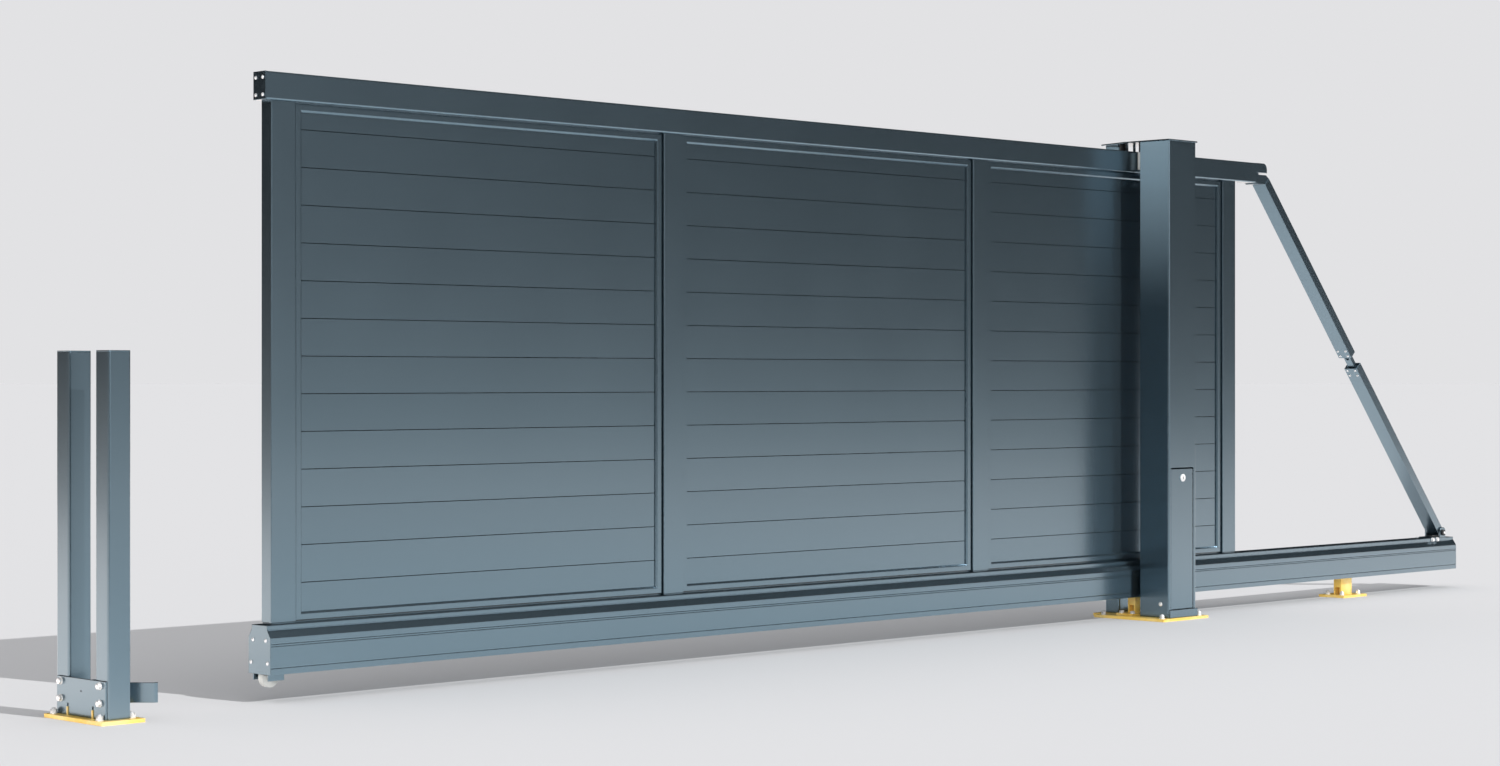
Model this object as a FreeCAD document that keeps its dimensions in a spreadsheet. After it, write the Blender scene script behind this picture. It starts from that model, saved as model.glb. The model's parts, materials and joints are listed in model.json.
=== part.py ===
import FreeCAD, Part
import Sketcher
import math
import os
import re

# Sliding cantilever driveway gate: a leaf on a hollow bottom rail, the portal it runs through and the
# receiver that it closes into. X runs along the gate with +X towards the tail, Y=0 is the leaf's middle
# plane and Z=0 the ground. The origin lies under the portal base plate, midway along the front post.

# Driving sizes in millimetres: name, value, what it is
sizes = [
    ("base_thickness", 12, "steel base plates on the ground"),
    ("anchor_hole", 14, "anchor hole diameter"),
    ("anchor_edge", 30, "anchor hole centre from the plate edge"),
    ("portal_plate_width", 330, "portal base plate along the gate"),
    ("portal_plate_front", 263, "front edge of the portal base plate from the leaf plane"),
    ("portal_plate_back", 118, "back edge of its wide part"),
    ("portal_tongue_width", 190, "width of the tongue under the rear post"),
    ("portal_tongue_back", 178, "back edge of the tongue"),
    ("front_post_width", 200, "portal front post along the gate"),
    ("front_post_depth", 160, "portal front post across the gate"),
    ("front_post_gap", 83, "front post face from the leaf plane"),
    ("front_post_wall", 5, "front post wall"),
    ("front_post_round", 8, "outer corner radius of the front post"),
    ("rear_post_size", 76, "square portal rear post"),
    ("rear_post_gap", 79, "rear post face from the leaf plane"),
    ("rear_post_wall", 4, "rear post wall"),
    ("rear_post_round", 8, "outer corner radius of the slim posts"),
    ("portal_headroom", 36.5, "top of the portal posts above the top beam"),
    ("top_plate_thickness", 6, "plate over the portal posts"),
    ("top_plate_overhang", 4, "top plate beyond the posts"),
    ("top_plate_tail", 120, "width of the top plate at its rear end"),
    ("skirt_height", 35, "plinth strip at the foot of the front post"),
    ("skirt_depth", 8, "plinth strip proud of the post"),
    ("door_left", 84, "service door's hinge edge left of the post centre"),
    ("door_right", 74, "service door's free edge right of the post centre"),
    ("door_bottom", 49, "service door bottom above ground"),
    ("door_height", 616, "service door height"),
    ("door_gap", 6, "gap round the service door"),
    ("door_hinge_gap", 2, "gap at the door's rounded hinge edge"),
    ("door_pin", 3, "hinge pin diameter"),
    ("door_pin_length", 9, "hinge pin beyond the door"),
    ("door_pin_end", 1, "pin hole beyond the pin's end"),
    ("pin_clearance", 0.15, "running clearance of pins in their holes"),
    ("lock_height", 625, "lock centre above ground"),
    ("lock_diameter", 34, "lock rosette diameter"),
    ("lock_proud", 3, "lock rosette thickness"),
    ("guide_roller_diameter", 38, "upper guide roller"),
    ("guide_roller_height", 80, "upper guide roller height"),
    ("guide_roller_spread", 84, "distance between the two rollers of a guide"),
    ("guide_roller_rise", 10, "guide roller underside above the top beam's underside"),
    ("guide_pin", 12, "guide roller pin diameter"),
    ("guide_shelf_length", 150, "guide bracket along the gate"),
    ("guide_shelf_reach", 4, "guide shelf stops this far behind the roller's inner side"),
    ("guide_plate", 6, "guide bracket plate"),
    ("guide_flange", 90, "guide bracket flange height"),
    ("roll_clearance", 0.5, "gap where a roller meets what it runs on"),
    ("rear_carriage_place", 1637, "rear carriage centre along the gate"),
    ("front_foot_width", 90, "front carriage foot across the gate"),
    ("rear_foot_width", 142, "rear carriage foot across the gate"),
    ("foot_length", 200, "carriage feet along the gate"),
    ("front_foot_thickness", 8, "front carriage foot"),
    ("upright_length", 95, "carriage upright along the gate"),
    ("upright_width", 40, "carriage upright across the gate"),
    ("upright_wall", 8, "carriage upright plates"),
    ("upright_notch", 34, "notch height at the foot of the upright's end plates"),
    ("truck_length", 220, "carriage truck inside the rail"),
    ("truck_height", 62, "carriage truck height"),
    ("axle_spacing", 146, "between the two axles of a carriage"),
    ("axle_diameter", 24, "carriage axle between truck and wheel"),
    ("wheel_width", 22, "carriage wheel width"),
    ("wheel_side_gap", 4, "wheel to the rail's side wall"),
    ("leaf_front", 4722, "front end of the leaf left of the portal centre"),
    ("rail_length", 7300, "bottom rail with both caps"),
    ("rail_underside", 94, "rail underside above ground"),
    ("rail_width", 122, "rail width"),
    ("rail_slot", 52, "slot under the rail"),
    ("rail_flange", 9, "rail bottom flange thickness"),
    ("rail_channel", 100, "running channel height inside the rail"),
    ("rail_wall", 6, "rail wall and web"),
    ("rail_side", 121, "height of the rail's upright sides"),
    ("rail_shoulder", 21, "rise of the sloping shoulder"),
    ("rail_shoulder_top", 82, "width at the top of the shoulder"),
    ("rail_neck", 76, "width of the undercut neck"),
    ("rail_neck_height", 5, "height of the undercut neck"),
    ("rail_lip", 86, "width of the lip on top"),
    ("rail_lip_height", 14, "height of the lip"),
    ("groove_depth", 1.5, "shadow groove along the rail's sides"),
    ("groove_low", 22, "lowest groove above the rail's underside"),
    ("groove_high", 20, "highest groove below the top of the rail's side"),
    ("groove_pitch", 7, "between the two upper grooves"),
    ("cap_thickness", 4, "end caps"),
    ("end_roller_diameter", 65, "end roller"),
    ("end_roller_width", 24, "end roller width"),
    ("end_roller_setback", 36, "end roller axis behind the leaf's front end"),
    ("end_roller_drop", 12.5, "end roller axis below the rail"),
    ("cheek_gap", 76, "clear width between the end roller's cheeks"),
    ("cheek_thickness", 6, "end roller cheek"),
    ("cheek_length", 62, "end roller cheek along the gate"),
    ("cheek_drop", 21, "end roller cheek below the rail"),
    ("end_axle", 12, "end roller axle diameter"),
    ("beam_tail", 157, "top beam beyond the rear stile"),
    ("beam_underside", 1976, "top beam underside above ground"),
    ("beam_height", 93, "top beam height"),
    ("beam_depth", 67, "top beam across the gate"),
    ("beam_wall", 4, "top beam wall"),
    ("beam_round", 6, "top beam corner radius"),
    ("stile_setback", 27, "front stile behind the leaf's front end"),
    ("stile_pitch", 1766, "stile to stile"),
    ("stile_width", 100, "stile width"),
    ("stile_depth", 55, "stile across the gate"),
    ("stile_wall", 3, "stile wall"),
    ("stile_round", 3, "stile corner radius"),
    ("stile_gap", 6, "shadow gap under a stile"),
    ("panel_thickness", 20, "board panel thickness"),
    ("board_pitch", 125, "board joint to board joint"),
    ("board_joint", 4, "depth of the V joint between boards"),
    ("first_joint", 132, "lowest board joint above the rail"),
    ("bead_width", 26, "glazing bead round a panel"),
    ("bead_height", 9.5, "bead proud of the panel"),
    ("bead_chamfer", 6, "bead chamfer towards the panel"),
    ("bead_side_gap", 5, "bead to stile"),
    ("bead_low_gap", 9, "bead to rail"),
    ("bead_top_gap", 6, "bead to beam"),
    ("brace_top_reach", 55, "brace line's upper end beyond the beam end"),
    ("brace_top_drop", 49, "brace line's upper end below the beam top"),
    ("brace_foot_reach", 99, "brace pin before the rail end"),
    ("brace_foot_rise", 25, "brace pin above the rail"),
    ("strut_width", 70, "brace strut across the gate"),
    ("strut_height", 44, "brace strut in the leaf plane"),
    ("strut_wall", 4, "brace strut wall"),
    ("strut_head", 46, "upper strut starts this far down the brace line"),
    ("strut_foot", 4, "lower strut runs this far past its pin"),
    ("strut_gap", 70, "gap between the two struts"),
    ("plug_length", 50, "plug inside a strut's end"),
    ("plug_recess", 8, "plug behind the strut's end"),
    ("coupling_width", 35, "coupling bar across the gate"),
    ("coupling_height", 22, "coupling bar in the leaf plane"),
    ("coupling_hole", 20, "hole through the coupling bar"),
    ("coupling_hole_inset", 14, "that hole's centre from the upper strut"),
    ("lug_thickness", 7.5, "brace plates and ears"),
    ("hinge_block_length", 80, "upper hinge block beyond its plate"),
    ("hinge_block_height", 44, "upper hinge block height"),
    ("hinge_block_round", 28, "rounded corner of the hinge block"),
    ("hinge_gap", 10, "open gap between the hinge block and the strut's head"),
    ("head_clearance", 4, "strut head from the hinge plate"),
    ("head_flat", 25, "strut head's flat top beyond the brace line's upper end"),
    ("hinge_stud", 16, "stud between the hinge block and the strut's head"),
    ("ear_width", 54, "lower hinge ears along the gate"),
    ("ear_round", 24, "rounded top corners of the lower hinge ears"),
    ("clevis_plate", 4, "lower hinge plate on the rail"),
    ("clevis_tail", 85, "lower hinge plate in front of its pin"),
    ("seat_clearance", 0.3, "clearance of fixed seats"),
    ("receiver_place", 5345, "receiver post centre left of the portal centre"),
    ("receiver_post_width", 82, "receiver posts along the gate"),
    ("receiver_post_depth", 74, "receiver posts across the gate"),
    ("receiver_gap", 76, "receiver post face from the leaf plane"),
    ("receiver_height", 1150, "top of the receiver posts above ground"),
    ("receiver_plate_width", 155, "receiver base plate along the gate"),
    ("receiver_plate_front", 176, "front edge of the receiver base plate from the leaf plane"),
    ("receiver_plate_back", 156, "its back edge from the leaf plane"),
    ("receiver_plate_shift", 3, "receiver base plate centre beyond the post centre"),
    ("receiver_anchor_side", 20, "receiver anchor holes from the plate's long edges"),
    ("receiver_anchor_line", 132, "receiver anchor holes from the leaf plane"),
    ("post_cap", 4, "receiver post cap"),
    ("tie_thickness", 6, "receiver tie plate"),
    ("tie_height", 119, "receiver tie plate height"),
    ("tie_margin", 6, "tie plate short of the front post's outer face"),
    ("tie_margin_back", 15, "tie plate short of the rear post's outer face"),
    ("tie_slot", 37, "height of the tie plate's slots over the ribs"),
    ("rib_thickness", 6, "ribs on the receiver base plate"),
    ("rib_height", 26, "rib height under the catcher"),
    ("rib_margin", 6, "rib ends from the plate edge"),
    ("rib_proud", 3, "ribs in front of the tie plate"),
    ("rib_clearance", 1, "tie plate slot clear of its rib on each side"),
    ("gusset_height", 48, "gusset on the receiver posts"),
    ("catcher_bottom", 52, "catcher wall bottom above ground"),
    ("catcher_height", 63, "catcher wall height"),
    ("catcher_straight", 30, "straight catcher walls beyond the receiver posts"),
    ("catcher_wall", 6, "catcher wall thickness"),
    ("catcher_flare", 62, "catcher walls then flare this far along and across the gate"),
    ("catcher_lip", 12, "straight lip at the end of the flare"),
    ("catcher_clearance", 5, "catcher floor under the end roller"),
]

doc = FreeCAD.newDocument("SlidingGate")
sheet = doc.addObject("Spreadsheet::Sheet", "Sizes")
for row, (alias, value, note) in enumerate(sizes, start=1):
    sheet.set(f"A{row}", note)
    sheet.set(f"B{row}", str(value))
    sheet.setAlias(f"B{row}", alias)
doc.recompute()
aliases = {alias for alias, value, note in sizes}
parts = []


# Expression text in which each size name points at its cell
def sized(text):
    def cell(word):
        name = word.group()
        return "Sizes." + name if name in aliases else name
    return re.sub(r"[a-z]\w*", cell, str(text))


def bind(thing, prop, text):
    thing.setExpression(prop, sized(text))


def place(thing, x, y, z):
    for axis, text in zip("xyz", (x, y, z)):
        bind(thing, "Placement.Base." + axis, text)


def keep(thing, label):
    thing.Label = label
    parts.append(thing)
    return thing


def new_body(label, at=("0", "0", "0")):
    body = doc.addObject("PartDesign::Body", label)
    place(body, *at)
    return body


def origin_item(body, role):
    return next(item for item in body.Origin.OriginFeatures if item.Role == role)


# Corners of a rectangle from its low and high sides
def rectangle(left, right, low, high):
    return [(left, low), (right, low), (right, high), (left, high)]


def centred(width, depth):
    return rectangle(f"-({width})/2", f"({width})/2", f"-({depth})/2", f"({depth})/2")


# The two loops of a rectangular tube section
def tube_section(width, depth, wall):
    return [centred(width, depth), centred(f"{width}-2*{wall}", f"{depth}-2*{wall}")]


# Closed polygon whose corners hang on the sketch origin by bound distances
def draw_polygon(sketch, corners):
    count = len(corners)
    start = sketch.GeometryCount
    for index in range(count):
        turns = [2 * math.pi * (index + step) / count for step in (0, 1)]
        ends = [FreeCAD.Vector(50 * math.cos(turn), 50 * math.sin(turn), 0) for turn in turns]
        sketch.addGeometry(Part.LineSegment(*ends), False)
    for index in range(count):
        follower = start + (index + 1) % count
        sketch.addConstraint(Sketcher.Constraint("Coincident", start + index, 2, follower, 1))
    for index, corner in enumerate(corners):
        point = sketch.getPoint(start + index, 1)
        for kind, value, text in zip(("DistanceX", "DistanceY"), (point.x, point.y), corner):
            number = sketch.addConstraint(Sketcher.Constraint(kind, -1, 1, start + index, 1, value))
            bind(sketch, f"Constraints[{number}]", text)


def draw_circle(sketch, x, y, diameter):
    circle = Part.Circle(FreeCAD.Vector(1, 1, 0), FreeCAD.Vector(0, 0, 1), 1)
    index = sketch.addGeometry(circle, False)
    for kind, text in (("DistanceX", x), ("DistanceY", y)):
        number = sketch.addConstraint(Sketcher.Constraint(kind, -1, 1, index, 3, 1.0))
        bind(sketch, f"Constraints[{number}]", text)
    number = sketch.addConstraint(Sketcher.Constraint("Diameter", index, 2.0))
    bind(sketch, f"Constraints[{number}]", diameter)


# Sketch on one of the body's own planes, lifted along the plane's normal
def draw(body, plane, loops=(), circles=(), lift="0"):
    sketch = body.newObject("Sketcher::SketchObject", body.Name + "_sketch")
    sketch.AttachmentSupport = (origin_item(body, plane), [""])
    sketch.MapMode = "FlatFace"
    bind(sketch, "AttachmentOffset.Base.z", lift)
    for corners in loops:
        draw_polygon(sketch, corners)
    for circle in circles:
        draw_circle(sketch, *circle)
    return sketch


def pad(body, sketch, length, backwards=False):
    feature = body.newObject("PartDesign::Pad", body.Name + "_pad")
    feature.Profile = sketch
    bind(feature, "Length", length)
    feature.Reversed = backwards
    doc.recompute()
    return feature


# A cut whose direction is proved by the volume it takes away
def pocket(body, sketch, length, backwards=False):
    before = body.Shape.Volume
    feature = body.newObject("PartDesign::Pocket", body.Name + "_pocket")
    feature.Profile = sketch
    bind(feature, "Length", length)
    feature.Reversed = backwards
    doc.recompute()
    if body.Shape.Volume >= before - 1:
        raise RuntimeError(body.Label + ": the cut missed the solid")
    return feature


# Fillet on the edges that a test picks
def round_edges(body, radius, wanted):
    base = body.Tip
    names = [f"Edge{number}" for number, edge in enumerate(base.Shape.Edges, start=1) if wanted(edge)]
    feature = body.newObject("PartDesign::Fillet", body.Name + "_round")
    feature.Base = (base, names)
    bind(feature, "Radius", radius)
    doc.recompute()


# Picks the four outermost long edges of an extrusion along one axis
def outer_corners(body, axis):
    others = [name for name in ("x", "y", "z") if name != axis]
    reach = {name: max(abs(getattr(v.Point, name)) for v in body.Tip.Shape.Vertexes) for name in others}

    def wanted(edge):
        ends = [vertex.Point for vertex in edge.Vertexes]
        if len(ends) < 2 or any(abs(getattr(ends[0], n) - getattr(ends[1], n)) > 0.01 for n in others):
            return False
        return all(abs(abs(getattr(ends[0], name)) - reach[name]) < 0.01 for name in others)
    return wanted


def extrusion(label, plane, loops, length, at, circles=(), backwards=False):
    body = new_body(label, at)
    pad(body, draw(body, plane, loops, circles), length, backwards)
    return keep(body, label)


# Square or oblong post: a tube standing at its foot's centre
def post(label, width, depth, wall, radius, height, at):
    body = extrusion(label, "XY_Plane", tube_section(width, depth, wall), height, at)
    round_edges(body, radius, outer_corners(body, "z"))
    return body


def base_plate(label, outline, holes, at):
    body = extrusion(label, "XY_Plane", [outline], "base_thickness", at)
    pocket(body, draw(body, "XY_Plane", circles=[(x, y, "anchor_hole") for x, y in holes]),
           "base_thickness", backwards=True)
    return body


# Heights and ends that several pieces share
portal_height = "(beam_underside+beam_height+portal_headroom)"
guide_bottom = "(beam_underside+guide_roller_rise)"
rail_height = "(rail_side+rail_shoulder+rail_neck_height+rail_lip_height)"
rail_top = f"(rail_underside+{rail_height})"
axle_line = "(rail_underside+rail_flange+rail_channel/2)"
rail_end = "(rail_length-leaf_front)"
beam_length = "(stile_setback+3*stile_pitch+stile_width+beam_tail)"
beam_end = f"({beam_length}-leaf_front)"


# Portal
def build_portal():
    half = "portal_plate_width/2"
    tongue = "portal_tongue_width/2"
    outline = [(f"-{half}", "-portal_plate_front"), (half, "-portal_plate_front"),
               (half, "portal_plate_back"), (tongue, "portal_plate_back"),
               (tongue, "portal_tongue_back"), (f"-{tongue}", "portal_tongue_back"),
               (f"-{tongue}", "portal_plate_back"), (f"-{half}", "portal_plate_back")]
    holes = [(f"{side}({half}-anchor_edge)", y) for side in ("-", "")
             for y in ("-(portal_plate_front-anchor_edge)", "portal_plate_back-anchor_edge")]
    base_plate("portal_base_plate", outline, holes, ("0", "0", "0"))

    height = f"{portal_height}-base_thickness"
    middle = "-(front_post_gap+front_post_depth/2)"
    front = post("portal_front_post", "front_post_width", "front_post_depth", "front_post_wall",
                 "front_post_round", height, ("0", middle, "base_thickness"))
    opening = rectangle("-(door_left+door_hinge_gap)", "door_right+door_gap",
                        "door_bottom-door_gap-base_thickness",
                        "door_bottom+door_height+door_gap-base_thickness")
    pocket(front, draw(front, "XZ_Plane", [opening], lift="front_post_depth/2"), "front_post_wall")
    axis = ("-(door_left-front_post_wall/2)", "-(front_post_depth-front_post_wall)/2")
    pin_hole = [(*axis, "door_pin+2*pin_clearance")]
    depth = "door_height+2*(door_pin_length+door_pin_end)"
    low = "door_bottom-door_pin_length-door_pin_end-base_thickness"
    pocket(front, draw(front, "XY_Plane", circles=pin_hole, lift=low), depth, backwards=True)

    post("portal_rear_post", "rear_post_size", "rear_post_size", "rear_post_wall", "rear_post_round", height,
         ("0", "rear_post_gap+rear_post_size/2", "base_thickness"))

    wide = "(front_post_width/2+top_plate_overhang)"
    tail = "top_plate_tail/2"
    front_edge = "-(front_post_gap+front_post_depth+top_plate_overhang)"
    back_edge = "rear_post_gap+rear_post_size+top_plate_overhang"
    roof = [(f"-{wide}", front_edge), (wide, front_edge), (wide, "0"), (tail, back_edge),
            (f"-{tail}", back_edge), (f"-{wide}", "0")]
    extrusion("portal_top_plate", "XY_Plane", [roof], "top_plate_thickness", ("0", "0", portal_height))

    extrusion("portal_skirt", "XY_Plane", [centred("front_post_width", "skirt_depth")], "skirt_height",
              ("0", "-(front_post_gap+front_post_depth+skirt_depth/2)", "base_thickness"))


# Flush service door with a rounded hinge edge and pins at its top and bottom
def build_door():
    thick = "front_post_wall"
    at = ("-(door_left-front_post_wall/2)",
          "-(front_post_gap+front_post_depth-front_post_wall/2)", "door_bottom")
    leaf = rectangle("0", "door_left-front_post_wall/2+door_right", f"-{thick}/2", f"{thick}/2")
    door = extrusion("service_door", "XY_Plane", [leaf], "door_height", at)
    pad(door, draw(door, "XY_Plane", circles=[("0", "0", thick)]), "door_height")
    pins = [("0", "0", "door_pin")]
    pad(door, draw(door, "XY_Plane", circles=pins, lift="-door_pin_length"), "door_height+2*door_pin_length")

    lock = new_body("door_lock", ("0", "-(front_post_gap+front_post_depth)", "lock_height"))
    pad(lock, draw(lock, "XZ_Plane", circles=[("0", "0", "lock_diameter")]), "lock_proud")
    keep(lock, "door_lock")


# Upper guides: a shelf bracket on each portal post, and two upright rollers on pins that reach the top plate
def build_guide(side, sign, face):
    roller_line = f"{sign}(beam_depth/2+roll_clearance+guide_roller_diameter/2)"
    inner = f"{sign}(beam_depth/2+roll_clearance+guide_shelf_reach)"
    shelf_top = f"{guide_bottom}-roll_clearance"
    bracket = new_body(f"{side}_guide_bracket", ("0", "0", shelf_top))
    shelf = [("-guide_shelf_length/2", inner), ("guide_shelf_length/2", inner),
             ("guide_shelf_length/2", f"{sign}({face})"), ("-guide_shelf_length/2", f"{sign}({face})")]
    pad(bracket, draw(bracket, "XY_Plane", [shelf]), "guide_plate", backwards=True)
    flange = [("-guide_shelf_length/2", f"{sign}({face}-guide_plate)"),
              ("guide_shelf_length/2", f"{sign}({face}-guide_plate)"),
              ("guide_shelf_length/2", f"{sign}({face})"), ("-guide_shelf_length/2", f"{sign}({face})")]
    pad(bracket, draw(bracket, "XY_Plane", [flange]), "guide_flange", backwards=True)
    spots = [(f"{end}guide_roller_spread/2", roller_line) for end in ("-", "")]
    pad(bracket, draw(bracket, "XY_Plane", circles=[(*spot, "guide_pin") for spot in spots]),
        f"{portal_height}-({shelf_top})")
    keep(bracket, f"{side}_guide_bracket")
    for name, (x, y) in zip(("left", "right"), spots):
        extrusion(f"{side}_guide_roller_{name}", "XY_Plane", [], "guide_roller_height",
                  (x, y, guide_bottom),
                  [("0", "0", "guide_roller_diameter"), ("0", "0", "guide_pin+2*pin_clearance")])


# Carriages: a foot, an upright through the rail's slot, and a truck inside the rail
def build_carriage(end, foot_width, foot_thickness, at, anchored):
    label = f"{end}_carriage"
    truck_low = f"({axle_line}-truck_height/2-({at[2]}))"
    carriage = new_body(label, at)
    pad(carriage, draw(carriage, "XY_Plane", [centred("foot_length", foot_width)]), foot_thickness)
    upright = draw(carriage, "XY_Plane", [centred("upright_length", "upright_width")], lift=foot_thickness)
    pad(carriage, upright, f"{truck_low}-{foot_thickness}")
    truck = draw(carriage, "XY_Plane", [centred("truck_length", "upright_width")], lift=truck_low)
    pad(carriage, truck, "truck_height")
    notch = draw(carriage, "XY_Plane", [centred("upright_length", "upright_width-2*upright_wall")],
                 lift=foot_thickness)
    pocket(carriage, notch, "upright_notch", backwards=True)
    if anchored:
        holes = [(f"{a}(foot_length/2-anchor_edge)", f"{b}({foot_width}/2-anchor_edge)", "anchor_hole")
                 for a in ("-", "") for b in ("-", "")]
        pocket(carriage, draw(carriage, "XY_Plane", circles=holes), foot_thickness, backwards=True)
    keep(carriage, label)


# Wheels on both sides of each truck: a tyre that fills the rail's channel and a stub axle to the truck
def build_wheels(places):
    wheels = []
    far = "(rail_width/2-rail_wall-wheel_side_gap)"
    near = f"({far}-wheel_width)"
    truck_side = "upright_width/2"
    for middle in places:
        for end in ("-", "+"):
            for tyre_start, stub_start in ((f"-{far}", f"-{near}"), (near, truck_side)):
                wheel = new_body("wheel", (f"{middle}{end}axle_spacing/2", "0", axle_line))
                tyre = draw(wheel, "XZ_Plane", circles=[("0", "0", "rail_channel-2*roll_clearance")],
                            lift=tyre_start)
                pad(wheel, tyre, "wheel_width")
                stub = draw(wheel, "XZ_Plane", circles=[("0", "0", "axle_diameter")], lift=stub_start)
                pad(wheel, stub, f"{near}-{truck_side}")
                wheels.append(wheel)
    group = doc.addObject("Part::Compound", "carriage_wheels")
    group.Links = wheels
    keep(group, "carriage_wheels")


# Receiver: two posts on a ribbed base plate, tied low down, with a catcher for the end roller
def build_receiver():
    centre = "-receiver_place"
    half_width = "receiver_plate_width/2"
    holes = [(f"{a}({half_width}-receiver_anchor_side)", f"{b}receiver_anchor_line")
             for a in ("-", "") for b in ("-", "")]
    outline = rectangle(f"-{half_width}", half_width, "-receiver_plate_front", "receiver_plate_back")
    plate = base_plate("receiver_base_plate", outline, holes, (f"{centre}-receiver_plate_shift", "0", "0"))
    half_post = "receiver_post_width/2"
    post_face = f"{half_post}+receiver_plate_shift"
    rib_foot = f"({half_width}-rib_margin)"
    rib_end = f"-({half_post}-receiver_plate_shift+tie_thickness+rib_proud)"
    rib_top = "base_thickness+rib_height"
    rib = [(rib_end, "base_thickness"), (rib_foot, "base_thickness"), (post_face, rib_top),
           (rib_end, rib_top)]
    gusset = [(post_face, "base_thickness"), (rib_foot, "base_thickness"),
              (post_face, "base_thickness+gusset_height")]
    rib_line = "(receiver_gap-rib_clearance-rib_thickness/2)"
    for line, profile in ((rib_line, rib), ("(receiver_gap+receiver_post_depth/2)", gusset)):
        for sign in ("-", ""):
            upright = draw(plate, "XZ_Plane", [profile], lift=f"{sign}{line}-rib_thickness/2")
            pad(plate, upright, "rib_thickness")
    height = "receiver_height-base_thickness-post_cap"
    for side, sign in (("front", "-"), ("rear", "")):
        middle = f"{sign}(receiver_gap+receiver_post_depth/2)"
        post(f"receiver_{side}_post", "receiver_post_width", "receiver_post_depth", "rear_post_wall",
             "rear_post_round", height, (centre, middle, "base_thickness"))
        lid = centred("receiver_post_width", "receiver_post_depth")
        cap = extrusion(f"receiver_{side}_cap", "XY_Plane", [lid], "post_cap",
                        (centre, middle, "receiver_height-post_cap"))
        round_edges(cap, "rear_post_round", outer_corners(cap, "z"))

    face = f"{centre}-{half_post}"
    edge = "receiver_gap+receiver_post_depth"
    tie_face = rectangle(f"-({edge}-tie_margin)", f"{edge}-tie_margin_back", "0", "tie_height")
    tie = extrusion("receiver_tie_plate", "YZ_Plane", [tie_face], "tie_thickness",
                    (f"{face}-tie_thickness", "0", "base_thickness"))
    half_slot = "(rib_thickness/2+rib_clearance)"
    slots = [rectangle(f"{sign}{rib_line}-{half_slot}", f"{sign}{rib_line}+{half_slot}",
                       "0", "tie_slot") for sign in ("-", "")]
    pocket(tie, draw(tie, "YZ_Plane", slots), "tie_thickness", backwards=True)

    outer = "receiver_gap"
    inner = "(receiver_gap-catcher_wall)"
    back = f"-{half_post}"
    bend = f"{half_post}+catcher_straight"
    turn = f"{bend}+catcher_flare"
    tip = f"{turn}+catcher_lip"
    path = [(back, "0"), (bend, "0"), (turn, "catcher_flare"), (tip, "catcher_flare")]
    catcher = new_body("catcher", (centre, "0", "0"))
    for sign in ("-", ""):
        wall = [(x, f"{sign}({inner}+{out})") for x, out in path]
        wall += [(x, f"{sign}({outer}+{out})") for x, out in reversed(path)]
        pad(catcher, draw(catcher, "XY_Plane", [wall], lift="catcher_bottom"), "catcher_height")
        if sign == "-":
            floor_top = ("rail_underside-end_roller_drop-end_roller_diameter/2-catcher_clearance")
            floor = rectangle(back, half_post, f"-{outer}", outer)
            pad(catcher, draw(catcher, "XY_Plane", [floor], lift=floor_top), "catcher_wall", backwards=True)
            riser = rectangle(back, half_post, f"-{outer}", f"-{inner}")
            pad(catcher, draw(catcher, "XY_Plane", [riser], lift=f"{floor_top}-catcher_wall"),
                f"catcher_bottom-({floor_top})+catcher_wall")
        else:
            riser = rectangle(back, half_post, inner, outer)
            pad(catcher, draw(catcher, "XY_Plane", [riser], lift=f"{floor_top}-catcher_wall"),
                f"catcher_bottom-({floor_top})+catcher_wall")
    keep(catcher, "catcher")


# Bottom rail: hollow lip and shoulders over a running channel that is open below, grooved along its sides
def rail_outline(grooves):
    side = "rail_width/2"
    notches = []
    for level in grooves:
        notches += [(side, f"{level}-groove_depth"), (f"{side}-groove_depth", level),
                    (side, f"{level}+groove_depth")]
    right = [("rail_slot/2", "rail_flange"), ("rail_slot/2", "0"), (side, "0"), *notches,
             (side, "rail_side"), ("rail_shoulder_top/2", "rail_side+rail_shoulder"),
             ("rail_neck/2", "rail_side+rail_shoulder"),
             ("rail_neck/2", "rail_side+rail_shoulder+rail_neck_height"),
             ("rail_lip/2", "rail_side+rail_shoulder+rail_neck_height"), ("rail_lip/2", rail_height)]
    left = [(f"-({y})", z) for y, z in reversed(right)]
    return right, left


def build_rail():
    upper_groove = "(rail_side-groove_high)"
    right, left = rail_outline(("groove_low", f"({upper_groove}-groove_pitch)", upper_groove))
    inner = "(rail_width/2-rail_wall)"
    ceiling = "rail_flange+rail_channel"
    channel = [(f"-{inner}", "rail_flange"), (f"-{inner}", ceiling), (inner, ceiling),
               (inner, "rail_flange")]
    foot = "(rail_width/2-2*rail_wall)"
    crown = "(rail_neck/2-rail_wall)"
    chamber_right = [(foot, f"{ceiling}+rail_wall"), (foot, "rail_side"), (crown, "rail_side+rail_shoulder"),
                     (crown, f"{rail_height}-rail_wall")]
    chamber = chamber_right + [(f"-{y}", z) for y, z in reversed(chamber_right)]
    extrusion("bottom_rail", "YZ_Plane", [right + left + channel, chamber], "rail_length-2*cap_thickness",
              ("-leaf_front+cap_thickness", "0", "rail_underside"))
    side = [("rail_width/2", "0"), ("rail_width/2", "rail_side"),
            ("rail_lip/2", f"{rail_height}-rail_lip_height"), ("rail_lip/2", rail_height)]
    cover = side + [(f"-{y}", z) for y, z in reversed(side)]
    extrusion("rail_front_cap", "YZ_Plane", [cover], "cap_thickness", ("-leaf_front", "0", "rail_underside"))
    extrusion("rail_rear_cap", "YZ_Plane", [cover], "cap_thickness",
              (f"{rail_end}-cap_thickness", "0", "rail_underside"))


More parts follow.
